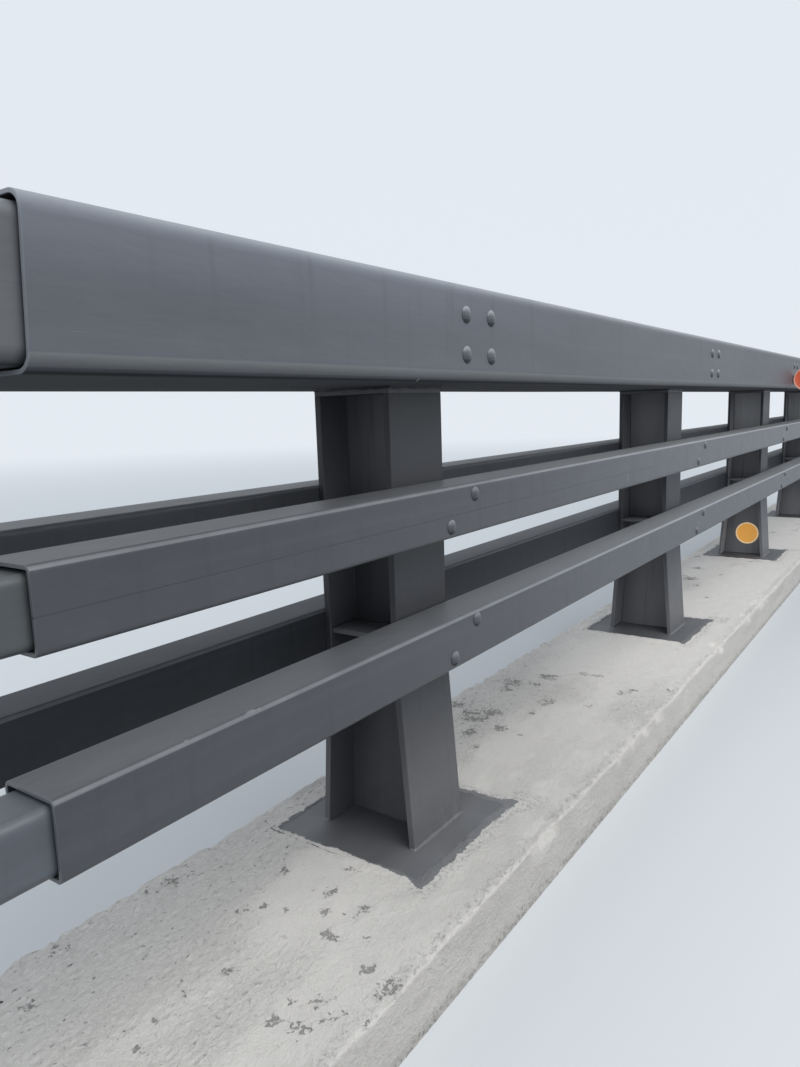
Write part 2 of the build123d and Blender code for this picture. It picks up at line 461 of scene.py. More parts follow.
looks["post"] = looks["topRail"] | {
    "paint": ((64, 65, 69), (72, 73, 77), (79, 80, 84)),
    "bands": 0.0,
    "streak": (55, 56, 60),
    "streaks": 0.7,
    "farLight": 0.36,
    "farLightBand": (-2.8, 0.2),
    # painted shade on the upper flanges, under the top rail
    "heightShading": (0.6, 0.9),
    "heightShadingBand": (0.35, 0.95),
    "heightShadingTones": ((50, 51, 55), (50, 51, 55)),
    "farBand": (-2.2, 0.9),
    # painted light on the flanges' inner faces
    "inner": 1.0,
    "downSlopeShading": 0.0,
    "nearDeckPale": 0.46,
    "smears": 0.55,
    "edges": 0.15,
    "cutEnds": 0.0,
    "hairs": 0.0,
    "chips": [],
    "roughness": 0.4,
}
looks["web"] = looks["post"] | {
    # painted shade: darker tones than the flanges' for the web between them
    "paint": ((54, 55, 59), (61, 62, 66), (68, 69, 73)),
    "nearDeckPale": 0.24,
    # painted light: the far webs much lighter
    "farLight": 0.75,
    "farLightColour": (138, 139, 142),
    # painted light: the web lighter at its top, and much lighter still far along
    "heightShading": (0.95, 0.95),
    "heightShadingBand": (0.84, 1.08),
    "heightShadingTones": ((118, 119, 123), (203, 204, 207)),
    "streak": (42, 43, 46),
    "streaks": 0.4,
    "smears": 0.15,
    "inner": 0.0,
}
looks["stiffener"] = looks["web"] | {
    # painted light: a lighter copy of the web's paint
    "paint": ((105, 106, 110), (112, 113, 117), (118, 119, 123)),
}
looks["cap"] = looks["post"] | {
    # painted light: the cap plate lighter all over
    "heightShading": (1.0, 1.0),
    "heightShadingTones": ((112, 113, 117), (112, 113, 117)),
    "inner": 0.0,
}
looks["weld"] = looks["post"] | {
    "paint": ((64, 65, 69), (72, 73, 77), (84, 85, 88)),
    "patches": 0.9,
    "edges": 0.0,
    "inner": 0.0,
    # painted shade on the beads between the flanges
    "flangeGapShade": 0.72,
    "flangeGapShadeBand": (0.117, 0.131),
    "smears": 0.7,
    "specks": 1.0,
}
looks["sleeve"] = looks["topRail"] | {
    "farLight": 0.0,
    "heightShading": (0.0, 0.0),
    "paint": ((75, 79, 81), (85, 89, 91), (95, 99, 101)),
    "downSlopeShading": 0.0,
    "dustAndLight": 0.15,
    "scratches": 0.95,
    "edges": 0.2,
    "roughness": 0.3,
}
looks["lowSleeve"] = looks["sleeve"] | {
    # painted light: a lighter copy of the sleeve paint
    "paint": ((86, 91, 97), (95, 100, 107), (103, 108, 114)),
}
looks["topSleeve"] = looks["sleeve"] | {
    # painted light: a lighter copy of the sleeve paint
    "paint": ((96, 99, 102), (104, 107, 111), (111, 114, 117)),
}
looks["base"] = looks["sleeve"] | {
    "paint": ((95, 96, 99), (105, 106, 109), (116, 117, 119)),
    # painted shade on the plate between the flanges
    "flangeGapShade": 0.42,
    "dustAndLight": 0.22,
    "scratches": 0.7,
    "edges": 0.0,
    "cutEnds": 0.0,
    "hairs": 0.0,
    "specks": 1.0,
    "chips": [((-3.142, -0.206, 0.118), (0.006, 0.003, 0.003))],
    "roughness": 0.5,
}
looks["bolt"] = looks["topRail"] | {
    # painted shade: darker tones than the top rail's paint
    "paint": ((80, 83, 89), (88, 91, 97), (105, 110, 115)),
    # painted highlight on the top rail's bolt heads
    "heightShading": (0.5, 0.0),
    "patches": 0.2,
    "streaks": 0.0,
    # painted shade on the lower part of each head
    "downSlopeShading": 0.4,
    "downSlopeShadingColour": (56, 58, 62),
    # painted highlight on the upper part of each head
    "edges": 0.75,
    "highlightBand": (0.10, 0.55, 0.92),
    "highlightTones": ((162, 168, 175), (146, 151, 156)),
    "cutEnds": 0.0,
    # painted shade on the lower part of each head
    "sootAndShade": 0.55,
    "sootAndShadeFrom": -0.28,
    "hairs": 0.0,
    "scratches": 0.0,
    "specks": 0.0,
    "chips": [],
    "roughness": 0.24,
}
looks["sideBolt"] = looks["bolt"] | {
    # painted shade: darker still for the side rails' bolts, with a weaker painted highlight
    "paint": ((74, 76, 80), (82, 84, 88), (105, 110, 115)),
    "edges": 0.62,
    "highlightTones": ((150, 153, 156), (146, 151, 156)),
}

paints = {part: steelPaint(part + "Paint", look) for part, look in looks.items()}

concreteLook = {
    "pale": (203, 200, 195),
    "mid": (194, 191, 186),
    "warm": (206, 201, 194),
    # painted light for the deck's shaded parts: its tone, and how much of it shows far along
    "fillLight": (236, 232, 226),
    "fillLightShare": 0.87,
    "edge": (226, 223, 217),
    "peeled": (148, 145, 142),
    "pit": (84, 84, 82),
    "grime": (166, 163, 158),
    "side": (211, 207, 201),
    "paint": (119, 120, 122),
    "paintLight": (128, 129, 131),
    # how far the paint runs past a base plate: everywhere, and more at its front and right
    "paintRun": 0.002,
    "paintRunFront": 0.017,
    "paintRunRight": 0.009,
    "dryBrush": 0.030,
}


def concreteFinish(name, look):
    # trowelled mortar: cloudy pale skin, painted light far along, towards the rear and at the left where the
    # rails' shade falls, worn spots, pits, rough lumps towards the rear edge, a bright and chipped front
    # edge, grime at the foot, and the posts' paint brushed past the edge of each base plate
    f = Finish(bpy.data.materials.new(name))
    cloud = f.noise((1.7, 2.6, 2.6), 4, roughness=0.6)
    warmth = f.noise((0.8, 1.5, 3), 2, (3, 3, 3))
    mottle = f.noise(24, 6, (1, 2, 9), roughness=0.7)
    crumbs = f.noise(85, 5, (4, 4, 4), roughness=0.75)
    grit = f.noise(330, 3, roughness=0.7)
    up = f.facing()
    level = up.over(0.5, 0.9)
    rear = f.y.over(0.02, 0.24) * level

    leftwards = 1 - f.x.over(-3.7, -2.7)
    f.colour = f.blend(cloud.over(0.3, 0.7), look["mid"], look["pale"])
    f.coat(warmth.over(0.45, 0.75) * 0.5, look["warm"])
    # painted light: paler far along, towards the rear and at the left, where the rails' shade falls on the
    # deck
    fillLightAlong = f.x.over(-2.9, -1.2) * look["fillLightShare"]
    fillLightRear = f.y.over(-0.30, 0.12) * 0.5
    f.coat(fillLightAlong.larger(fillLightRear + leftwards * 0.42), look["fillLight"])
    f.coat((1 - level) * 0.6, look["side"])
    clods = f.noise((55, 78, 78), 5, (7, 7, 0), roughness=0.7, distortion=0.5)
    drift = f.noise((1.5, 3.2, 3.2), 2, (5, 1, 4))
    zone = (drift + rear * 0.22 + leftwards * 0.08).over(0.50, 0.72) * level
    f.coat(mottle.over(0.46, 0.78) * (0.14 + zone * 0.02), look["grime"])
    f.coat(crumbs.over(0.5, 0.72) * (0.12 + zone * 0.10), look["grime"])
    f.coat(clods.over(0.60, 0.66) * (0.1 + zone * 0.6), look["pit"])
    f.coat(grit.over(0.45, 0.75) * 0.2, look["grime"])
    chalky = f.noise((5, 9, 9), 3, (6, 6, 6)).over(0.5, 0.7) * 0.35
    f.coat(chalky, look["edge"])
    nearEdge = 1 - f.y.over(-0.352, -0.312)
    arris = (up + (crumbs - 0.5) * 0.9).within(0.56, 0.74, 0.08) * nearEdge
    spalls = clods.over(0.545, 0.575) * nearEdge * level
    f.coat(arris * (0.08 + mottle * 0.5), look["edge"])
    f.coat(spalls * 0.32, f.blend(crumbs.over(0.4, 0.6), look["edge"], look["peeled"]))

    flakes = f.noise(105, 4, (2, 5, 4), roughness=0.7, distortion=0.3)
    torn = (flakes - 0.5) * 1.9 + (mottle - 0.5) * 1.8
    worn = f.field("worn")
    peeled = (worn * 0.75 + torn).over(0.53, 0.66) * worn.over(0.02, 0.15)
    scattered = f.noise(16, 7, (0, 4, 1), roughness=0.75) + (flakes - 0.5) * 0.12
    peeled = peeled.larger(scattered.over(0.685, 0.70) * 0.7)
    pitField = f.noise((58, 62, 62), 3, (2, 8, 0), roughness=0.5, distortion=0.5).over(0.725, 0.75)
    pits = pitField * (0.2 + rear * 0.8 + peeled * 0.5)
    trowelLine = f.noise((9, 120, 120), 2, (3, 1, 6), distortion=1.2).over(0.745, 0.765)
    lines = trowelLine * f.noise((2, 3, 3), 1, (1, 8, 8)).over(0.55, 0.65) * level
    f.coat(peeled * (0.5 + flakes * 0.7), look["peeled"])
    f.coat(pits.larger(lines * 0.6), look["pit"])
    foot = 1 - (f.z + (mottle - 0.5) * 0.05).over(0.006, 0.03)
    f.coat(foot * 0.55 * crumbs.over(0.3, 0.6), look["grime"])
    f.coat(foot * grit.over(0.5, 0.6) * crumbs.over(0.5, 0.6), look["pit"])

    # signed distance outside the nearest base plate, with square corners
    alongPlate = (f.x - postPlaces[0] + postSpacing / 2).modulo(postSpacing) - postSpacing / 2
    away = (alongPlate.size() - plateHalf[0]).larger(f.y.size() - plateHalf[1])
    front = 1 - f.y.over(-plateHalf[1] - 0.005, -plateHalf[1] + 0.03)
    right = alongPlate.over(plateHalf[0] - 0.03, plateHalf[0])
    left = 1 - alongPlate.over(-plateHalf[0], -plateHalf[0] + 0.03)
    brushed = f.noise(13, 3, (6, 2, 8), roughness=0.6)
    border = look["paintRun"] + front * look["paintRunFront"] + right * look["paintRunRight"] - left * 0.002
    border = border + (brushed - 0.5) * 0.034 + (crumbs - 0.5) * 0.02
    film = (border - away).over(-0.0006, 0.0010)
    outer = (border + look["dryBrush"] * (0.3 + front + right) - away).over(0.0, 0.03)
    dry = outer * (crumbs + grit * 0.35).over(0.66, 0.76) * 0.5
    gapPlace = away - 0.011 + (brushed - 0.5) * 0.02
    gap = (1 - gapPlace.size().over(0.0007, 0.0026)) * mottle.over(0.46, 0.56) * left * f.y.over(-0.03, 0.07)
    paint = f.blend(cloud.over(0.32, 0.68), look["paint"], look["paintLight"])
    f.coat(film.larger(dry), paint)
    f.coat(gap * 0.85, look["pit"])

    rough = 0.82 + mottle * 0.12 - film * 0.3
    sandy = f.bump(grit * 0.5 + crumbs, 0.9, 0.0030)
    swirls = f.noise((14, 28, 28), 5, (9, 2, 2), roughness=0.65, distortion=0.4)
    relief = swirls * 0.4 + mottle * (0.5 + zone * 0.4) + clods * (0.2 + zone * 1.5)
    trowelled = f.bump(relief, 0.85, 0.008, under=sandy)
    broken = f.bump(1 - peeled * 0.8 - pits - gap - spalls * 0.9, 0.9, 0.003, under=trowelled)
    return f.close({"Roughness": rough, "Normal": broken, "Specular IOR Level": 0.3})


concrete = concreteFinish("concrete", concreteLook)


def reflectorFinish(name, centre, radius, look):
    # prismatic sheet: fine honeycomb under a clear face, paler towards its rim, with a painted glow in its
    # own colour
    f = Finish(bpy.data.materials.new(name))
    away = f.vector("DISTANCE", f.place, centre, output="Value")
    cells = f.add(
        "ShaderNodeTexVoronoi",
        {"feature": "DISTANCE_TO_EDGE"},
        {"Vector": f.place, "Scale": 240.0, "Randomness": 0.25},
    )
    web = 1 - cells.over(0.02, 0.12)
    soil = f.noise(30, 4, roughness=0.6)
    f.colour = f.blend(soil.over(0.4, 0.75) * 0.35, look["face"], look["soiled"])
    f.coat(web * 0.35, look["web"])
    f.coat(away.over(radius * 0.87, radius * 0.90), look["rim"])
    relief = f.bump(cells, 0.25, 0.0006)
    return f.close({
        "Roughness": 0.32 + soil * 0.2,
        "Normal": relief,
        "Specular IOR Level": 0.5,
        "Coat Weight": 0.4,
        "Coat Roughness": 0.15,
        # painted glow: the sheet emits its own colour
        "Emission Color": f.colour,
        "Emission Strength": look["paintedGlow"],
    })


print("finishes mixed")

tubes = {
    "side": {"wall": 0.006, "corner": 0.010, "sleeveWall": 0.005, "sleeveCorner": 0.014},
    "top": {"wall": 0.006, "corner": 0.025, "sleeveWall": 0.006, "sleeveCorner": 0.022},
    # how far the left-hand saw cut is set back at mid height, its lean for each metre of height, and how far
    # along the rail that fades out; then how much higher a sleeve lies
    "cutBack": {"top_rail": 0.007},
    "cutLean": {"top_rail": 0.045},
    "cutReach": 0.4,
    "sleeveRise": {"top_rail": 0.003},
    "cutEdge": 0.0008,
    "station": 0.2,
    "endStation": 0.02,
    "bow": 0.0005,
}


def boxTube(node, wall, corner, seed, rise=0.0):
    # outer and inner outlines carried along x and joined at the sawn ends into one closed skin
    low, high = (np.array(end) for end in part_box(node))
    half, centre, edge = (high - low) / 2, (high + low) / 2 + (0, 0, rise), tubes["cutEdge"]
    count = max(3, int((high[0] - low[0]) / tubes["station"]))
    inside = np.linspace(low[0] + tubes["endStation"], high[0] - tubes["endStation"], count)
    stations = np.concatenate([[low[0], low[0] + edge], inside, [high[0] - edge, high[0]]])
    outer = roundedOutline(half[1], half[2], corner)
    inner = roundedOutline(half[1] - wall, half[2] - wall, max(corner - wall, 0.002))
    worn = np.zeros(len(stations))
    worn[[0, -1]] = edge
    rings = []
    for outline, sign, order in ((outer, -1, 1), (inner, 1, -1)):
        x = stations[::order]
        ring = outline * (1 + sign * worn[:, None, None] / half[1:]) + centre[1:]
        bow = tubes["bow"] * np.stack([softNoise(x * 0.9, seed, 1), softNoise(x * 1.1, seed, 2)], axis=1)
        bow[[0, -1]] = bow[[1, -2]]
        ring = ring + bow[:, None]
        cut = tubes["cutBack"].get(node, 0) + tubes["cutLean"].get(node, 0) * (ring[..., 1] - centre[2])
        along = x[:, None] + cut * smoothStep(low[0] + tubes["cutReach"], low[0], x)[:, None]
        rings.append(np.dstack([along, ring]))
    return shell(np.concatenate(rings), closedAlong=True)


tubeNodes = [f"{side}_{level}_rail" for side in sides for level in ("middle", "lower")] + ["top_rail"]
railPaints = {"top_rail": "topRail", "rear_middle_rail": "rearMiddle", "rear_lower_rail": "rearLower"}
sleevePaints = {"top_rail": "topSleeve", "front_lower_rail": "lowSleeve"}
for number, node in enumerate(tubeNodes):
    size = tubes["top" if node == "top_rail" else "side"]
    rail = boxTube(node, size["wall"], size["corner"], number)
    makePiece(node + "_skin", [rail], paints[railPaints.get(node, "sideRail")], [node])
    rise = tubes["sleeveRise"].get(node, 0)
    sleeve = boxTube(node + "_sleeve", size["sleeveWall"], size["sleeveCorner"], number + 20, rise)
    paint = paints[sleevePaints.get(node, "sleeve")]
    makePiece(node + "_sleeve_skin", [sleeve], paint, [node + "_sleeve"])
print("rails and sleeves made")

postShape = {
    "flangeHalfWidth": 0.105,
    "flangeThickness": 0.016,
    "edgeRadius": 0.0018,
    "slabRadius": 0.0016,
    "footCorner": 0.003,
    "kinkHeight": 0.550,
    "bendReach": 0.020,
    "webHalf": 0.007,
    "stiffenerSetback": 0.008,
}


def flangeLine(side, inset, count=9):
    # (y, z) from the foot up, inset from the outer face: straight lean, quadratic bend at the kink, upright
    low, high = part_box("post_1_rear_flange")
    foot = np.array([high[1] - inset, low[2]])
    kink = np.array([headHalf - inset, postShape["kinkHeight"]])
    head = np.array([headHalf - inset, high[2]])
    down = (foot - kink) / np.linalg.norm(foot - kink) * postShape["bendReach"]
    upward = np.array([0, postShape["bendReach"]])
    t = np.linspace(0, 1, count)[:, None]
    bend = (1 - t) ** 2 * (kink + down) + 2 * t * (1 - t) * kink + t ** 2 * (kink + upward)
    line = np.vstack([foot, foot + (kink - foot) * 0.3, bend, kink + (head - kink) * 0.5, head])
    return line * (side, 1)


def flangePlate(place, side):
    # a rounded strip outline carried up the flange's middle line
    line = flangeLine(side, postShape["flangeThickness"] / 2)
    along = np.gradient(line, axis=0)
    along /= np.linalg.norm(along, axis=1)[:, None]
    across = np.stack([along[:, 1], -along[:, 0]], axis=1)
    halfWidth, halfThickness = postShape["flangeHalfWidth"], postShape["flangeThickness"] / 2
    strip = roundedOutline(halfWidth, halfThickness, postShape["edgeRadius"], perCorner=4, shoulder=0.001)
    points = np.empty((len(line), len(strip), 3))
    points[..., 0] = place + strip[:, 0]
    points[..., 1:] = line[:, None] + across[:, None] * strip[None, :, 1:]
    return shell(points)


def slab(low, high):
    # a plate with rounded edges: its outline shrinks by r - r sin a as its face nears
    half, centre, radius = (np.array(high) - low) / 2, (np.array(high) + low) / 2, postShape["slabRadius"]
    angles = np.linspace(0, math.pi / 2, 4)
    inset = radius * (1 - np.sin(angles))
    rise = radius * (1 - np.cos(angles))
    insets = np.concatenate([inset, inset[::-1]])
    levels = np.concatenate([low[2] + rise, high[2] - rise[::-1]])
    rings = []
    for shrink, level in zip(insets, levels):
        corner = radius + 0.0005 - shrink * 0.9
        ring = roundedOutline(half[0] - shrink, half[1] - shrink, corner, perCorner=3, shoulder=0.0004)
        rings.append(np.column_stack([ring + centre[:2], np.full(len(ring), level)]))
    return shell(np.array(rings))


for post, place in zip(posts, postPlaces):
    for side, sign in sides.items():
        node = f"{post}_{side}_flange"
        makePiece(node + "_plate", [flangePlate(place, sign)], paints["post"], [node])
    low, high = (np.array(end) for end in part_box(post + "_stiffeners"))
    inner = postShape["webHalf"]
    halves = [
        slab(low, (place - inner, high[1], high[2])),
        slab((place + inner, low[1], low[2]), high),
    ]
    makePiece(post + "_stiffener_plates", halves, paints["stiffener"], [post + "_stiffeners"])
    cap = [slab(*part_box(post + "_cap_plate"))]
    makePiece(post + "_cap", cap, paints["cap"], [post + "_cap_plate"])
    dressNode(post + "_web", paints["web"])
    dressNode(post + "_base_plate", paints["base"])
print("posts made")

weld = {
    "uprightLeg": 0.0020,
    "footLeg": 0.0050,
    "webFootLeg": 0.0026,
    "seatLeg": 0.0065,
    "shelfLeg": 0.0022,
    "ripple": 0.0062,
    "step": 0.002,
    "depth": 0.07,
    "unevenness": 0.22,
    "unevenPitch": 30,
    # outline of a fillet, in shares of its leg along the two walls
    "section": [(-0.2, -0.2), (1, -0.15), (0.9, 0.08), (0.58, 0.3), (0.3, 0.58), (0.08, 0.9), (-0.15, 1)],
}


def bead(path, wallA, wallB, leg, seed, closed=False):
    # a fillet's outline carried along the corner of two walls, its leg swelling and shrinking once in each
    # ripple
    path = np.asarray(path, float)
    gaps = np.linalg.norm(np.diff(path, axis=0), axis=1)
    length = np.concatenate([[0], np.cumsum(gaps)])
    count = max(4, int(length[-1] / weld["step"]))
    at = np.linspace(0, length[-1], count)
    wallA, wallB = (np.broadcast_to(wall, path.shape) for wall in (wallA, wallB))
    spread = ([np.interp(at, length, values[:, k]) for k in range(3)] for values in (path, wallA, wallB))
    line, a, b = (np.stack(columns, axis=1) for columns in spread)
    swell = 1 + weld["depth"] * np.sin(at / weld["ripple"] * 2 * math.pi)
    swell += weld["unevenness"] * roughNoise(at * weld["unevenPitch"], seed, seed, 3)
    section = np.array(weld["section"])
    legs = (leg * swell)[:, None, None]
    points = line[:, None] + legs * (a[:, None] * section[None, :, :1] + b[:, None] * section[None, :, 1:])
    if closed:
        points = points[:-1]
    return shell(points, closedAlong=closed)


def footRing(place, side):
    # the loop round a flange's foot and the outward direction at each of its points
    half = np.array([postShape["flangeHalfWidth"], postShape["flangeThickness"] / 2])
    corner = postShape["footCorner"]
    loop = roundedOutline(*half, corner, perCorner=3, shoulder=0.0003)
    loop = np.vstack([loop, loop[:1]])
    outward = loop - np.clip(loop, corner - half, half - corner)
    outward /= np.linalg.norm(outward, axis=1)[:, None]
    centre = (place, flangeLine(side, half[1])[0][0])
    level = np.full(len(loop), deckHeight)
    return np.column_stack([loop + centre, level]), np.column_stack([outward, 0 * level])


for number, (post, place) in enumerate(zip(posts, postPlaces)):
    beads = []
    thickness, end = postShape["flangeThickness"], postShape["flangeHalfWidth"]
    reach = end - postShape["stiffenerSetback"]
    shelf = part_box(post + "_stiffeners")
    shelfFaces = ((shelf[1][2], 1), (shelf[0][2], -1))
    for side in (-1, 1):
        corner = flangeLine(side, thickness)
        for hand in (-1, 1):
            x = place + hand * postShape["webHalf"]
            seed = 10 * number + side + 2 * hand + 30
            upright = np.column_stack([np.full(len(corner), x), corner])
            beads.append(bead(upright, (hand, 0, 0), (0, -side, 0), weld["uprightLeg"], seed))
            for level, rise in shelfFaces:
                ends = [(along, side * shelf[1][1], level) for along in (x, place + hand * reach)]
                beads.append(bead(ends, (0, -side, 0), (0, 0, rise), weld["shelfLeg"], seed + 5))
        ring, outward = footRing(place, side)
        beads.append(bead(ring, outward, (0, 0, 1), weld["footLeg"], number + 50 + side, closed=True))
        seat = [(place + way * end, side * headHalf, seatHeight) for way in (-1, 1)]
        beads.append(bead(seat, (0, side, 0), (0, 0, -1), weld["seatLeg"], number + 60 + side))
    for hand in (-1, 1):
        seat = [(place + hand * end, way * headHalf, seatHeight) for way in (-1, 1)]
        beads.append(bead(seat, (hand, 0, 0), (0, 0, -1), weld["seatLeg"], number + 90 + hand))
        x = place + hand * postShape["webHalf"]
        foot = [(x, way * flangeLine(1, thickness)[0][0], deckHeight) for way in (-1, 1)]
        beads.append(bead(foot, (hand, 0, 0), (0, 0, 1), weld["webFootLeg"], number + 70 + hand))
        for level, rise in shelfFaces:
            ends = [(x, edge[1], level) for edge in shelf]
            beads.append(bead(ends, (hand, 0, 0), (0, 0, rise), weld["shelfLeg"], number + 80 + hand))
    makePiece(post + "_welds", beads, paints["weld"], sharpAngle=60)
print("welds laid")

# Dome-head bolts, the same on the front and the rear: root and rim are heights off the rail's face, and
# heightShare is the cap's height over its radius
boltHead = {
    "root": -0.002,
    "rim": 0.0008,
    "heightShare": 0.36,
    "sizeSpread": (0.98, 1.03),
    "around": 28,
    "steps": 9,
    "lastSlope": 0.03,
}
boltPlaces = {
    # a rail's face from the middle, its bolts' head radius, and (offset along x, height) of each at a post
    "top_rail": (0.260, 0.0172, [(-0.039, 1.231), (0.066, 1.231), (-0.039, 1.311), (0.066, 1.311)]),
    "middle_rail": (0.218, 0.0160, [(0.058, 0.931), (-0.046, 0.869)]),
    "lower_rail": (0.218, 0.0160, [(0.058, 0.640), (-0.043, 0.574)]),
}


def turned(centre, axis, radii, along, count, phase=0.0):
    # circles about an axis through the centre, each with its own radius and its own place along that axis
    angles = np.linspace(0, 2 * math.pi, count, endpoint=False) + phase
    rings = radii[:, None, None] * np.stack([np.cos(angles), np.sin(angles)], axis=1)
    return shell(centre + np.insert(rings, axis, along[:, None], axis=2))


def domeHead(centre, radius, side, seed):
    # a short rim, then a cap cut from a ball, turned about y; a cap whose height is h times its radius slopes
    # by 2 atan h at its rim
    rng = np.random.default_rng(seed)
    radius = radius * rng.uniform(*boltHead["sizeSpread"])
    height = radius * boltHead["heightShare"]
    rimSlope = 2 * math.atan(boltHead["heightShare"])
    slope = np.linspace(rimSlope, boltHead["lastSlope"], boltHead["steps"])
    radii = np.concatenate([[1, 1], np.sin(slope) / math.sin(rimSlope)]) * radius
    bulge = (np.cos(slope) - math.cos(rimSlope)) / (1 - math.cos(rimSlope))
    heights = np.concatenate([[boltHead["root"], 0.75 * boltHead["rim"]], boltHead["rim"] + height * bulge])
    return turned(centre, 1, radii, side * heights, boltHead["around"], rng.uniform(0, 1))


# the bolts that hold the bracket sit on it
bracketLow, bracketHigh = (np.array(end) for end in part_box("delineator_bracket"))
bracketThickness = 0.004
for rail, (face, radius, offsets) in boltPlaces.items():
    for side, sign in sides.items():
        heads = []
        for place in postPlaces:
            for along, z in offsets:
                centre = np.array([place + along, sign * face, z])
                justOut = centre - (0, 0.001, 0)
                if (bracketLow < justOut).all() and (justOut < bracketHigh).all():
                    centre[1] -= bracketThickness
                # the seed comes from the place, so no two heads on a rail are alike
                seed = int(1000 * (centre[0] + z) + 9 * sign + 9000)
                heads.append(domeHead(centre, radius, sign, seed))
        paint = paints["bolt" if rail == "top_rail" else "sideBolt"]
        makePiece(f"{side}_{rail}_bolts", heads, paint)
print("bolts set")

discs = {
    "web_reflector": {
        "slot": "reflector",
        "look": {
            "face": (226, 156, 62),
            "soiled": (206, 136, 58),
            "web": (238, 182, 90),
            "rim": (236, 206, 164),
            # strength of the painted glow
            "paintedGlow": 0.46,
        },
    },
    "delineator_disc": {
        "slot": "red_reflector",
        "look": {
            "face": (222, 92, 54),
            "soiled": (196, 78, 46),
            "web": (234, 124, 84),
            "rim": (226, 170, 148),
            # strength of the painted glow
            "paintedGlow": 0.04,
        },
    },
}

# Flat back, rounded rim that stands a little proud, slightly sunk face, in shares of radius and thickness
discSection = [
    (0.2, 0), (0.985, 0), (1, 0.1), (1, 0.85), (0.985, 1),
    (0.94, 1), (0.93, 0.93), (0.915, 0.75), (0.5, 0.72), (0.05, 0.72),
]


def dishedDisc(low, high):
    # the disc's section turned about x, its face towards -x
    share, depth = np.array(discSection).T
    centre = (high[0], *((low + high) / 2)[1:])
    return turned(centre, 0, (high[1] - low[1]) / 2 * share, -depth * (high[0] - low[0]), count=72)


for node, facts in discs.items():
    low, high = (np.array(end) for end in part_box(node))
    finish = reflectorFinish(node + "_sheet", tuple((low + high) / 2), (high[1] - low[1]) / 2, facts["look"])
    makePiece(node + "_face", [dishedDisc(low, high)], finish, [node])
dressNode("delineator_bracket", paints["topRail"])
print("reflectors made")

plinth = {
    "station": 0.0090,
    "across": 0.0085,
    "edgeGap": 0.0015,
    "batter": 0.015,
    "arris": 0.012,
    # each noise: its height, and its lumps in a metre along x and along y, or along z on the sides
    "undulation": (0.0018, 4, 7),
    "lumps": (0.0014, 18, 22),
    "rearLumps": (0.0034, 26, 30),
    "sideWander": (0.0018, 6, 20),
    "chip": 0.015,
    "chipPitch": 13,
    "rearRagged": 0.009,
    "raggedPitches": (3, 42),
    "underPlate": 0.006,
    "wornDepth": 0.0012,
    "wornChip": 0.006,
    # worn spots on the deck: x, y and size of each in millimetres, and how many more lie beyond them
    "spots": [
        (-3481, 47, 9), (-3465, 34, 7), (-3442, 17, 12), (-3421, -30, 12), (-3391, -102, 12),
        (-3372, -144, 12), (-3334, -161, 17), (-3366, -165, 9), (-3439, -153, 13), (-3435, -175, 11),
        (-3403, -226, 11), (-3270, -181, 7), (-3697, -42, 12), (-3770, -47, 12), (-3820, -74, 9),
        (-3809, -23, 8), (-3618, -63, 15), (-3546, -23, 7), (-3608, -215, 12), (-3661, -221, 13),
        (-3650, -273, 19), (-3583, -259, 18), (-3603, -294, 15), (-3577, -310, 10), (-3691, -256, 9),
        (-3492, -347, 26), (-3577, -354, 11), (-3474, -283, 13), (-3324, 63, 15), (-3344, 117, 8),
        (-3238, -59, 18), (-3328, -68, 22), (-3752, 263, 22), (-3484, 254, 23), (-3546, 265, 10),
        (-3863, 165, 16), (-2263, 235, 47), (-2334, 144, 53), (-2278, 118, 38), (-2455, 93, 32),
        (-2372, 31, 29), (-1991, 182, 38), (-2061, 158, 21), (-1856, 100, 39), (-1959, 105, 25),
        (-2218, -3, 15), (-2094, 0, 36), (-2066, -140, 19), (-1762, 4, 22), (-1766, -57, 17),
        (-1895, -190, 20), (-1855, -219, 24), (-1784, -323, 24), (-2540, 19, 14), (-2396, -51, 11),
        (76, 98, 53), (375, 137, 42), (-86, 17, 25), (-343, -94, 18), (236, -40, 20),
    ],
    "moreSpots": 90,
}


def fromPlates(x, y):
    # how far a point lies outside the nearest base plate, counted square at its corners and below 0 on it
    alongX = np.abs(np.mod(x - postPlaces[0] + postSpacing / 2, postSpacing) - postSpacing / 2)
    return np.maximum(alongX - plateHalf[0], np.abs(y) - plateHalf[1])


def withEdges(stations, edges):
    # puts a station just before and just after each edge, in place of those that lie near it
    gap, edges = plinth["edgeGap"], np.array(edges)
    near = np.abs(stations[:, None] - edges).min(axis=1) < 2 * gap
    return np.sort(np.concatenate([stations[~near], edges - gap, edges + gap]))


def wornField(x, y):
    # 1 in the middle of a worn spot, falling to 0 at twice its size; the highest of all spots counts
    rng = np.random.default_rng(5)
    middles = rng.uniform((0.6, -0.32), (3.9, 0.27), (plinth["moreSpots"] // 6, 2))
    near = np.repeat(middles, 6, axis=0) + rng.normal(0, (0.09, 0.05), (len(middles) * 6, 2))
    more = np.column_stack([near, rng.uniform(0.008, 0.032, len(near))])
    field = np.zeros(np.broadcast(x, y).shape)
    for spotX, spotY, size in np.vstack([np.array(plinth["spots"]) / 1000, more]):
        column = np.abs(x[:, 0] - spotX) < 2 * size
        away = np.hypot(x[column] - spotX, y[column] - spotY) / (2 * size)
        field[column] = np.maximum(field[column], 1 - away)
    return field


def relief(share, key, u, v, seed, octaves=4):
    # noise of the height and pitches given above, as far as share lets it show
    height, pitchU, pitchV = plinth[key]
    return share * height * roughNoise(u * pitchU, v * pitchV, seed, octaves)


